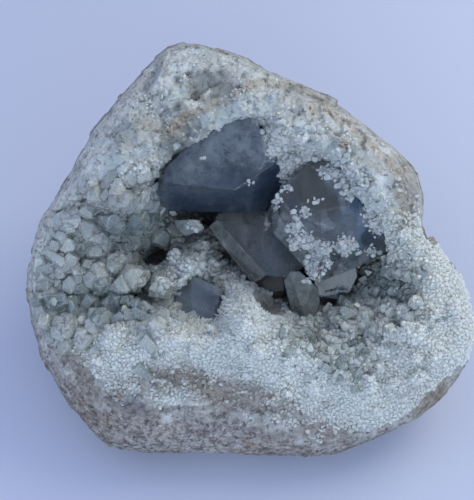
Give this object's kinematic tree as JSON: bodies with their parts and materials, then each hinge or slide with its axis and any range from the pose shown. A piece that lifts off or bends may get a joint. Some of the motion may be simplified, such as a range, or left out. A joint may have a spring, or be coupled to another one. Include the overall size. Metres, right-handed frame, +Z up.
{
  "type": "celestite crystal cluster",
  "caption": "Heart-shaped piece of a celestite geode: grey-brown matrix with a white druse crust and large blue crystals in its hollow, resting on a flat facet.",
  "frame": {"origin": "middle of the overall box's underside, on the surface that the flat facet rests on", "axes": "+X to the right across the open face, +Y to the back, +Z up; the open face looks up and towards -Y"},
  "size_m": [0.1504, 0.1186, 0.0914],
  "materials": {
    "matrix": "rough grey-brown rind",
    "crust": "sugary white to pale grey-blue crystal druse",
    "blue_crystal": "cloudy grey-blue crystal, smooth flat faces",
    "pale_crystal": "clear pale crystal"
  },
  "bodies": {
    "root": {"matrix": "matrix", "crystal_crust": "crust", "back_blue_crystal": "blue_crystal", "middle_crystal_group": "blue_crystal", "front_blue_crystal": "blue_crystal", "clear_point": "pale_crystal"}
  },
  "joints": []
}
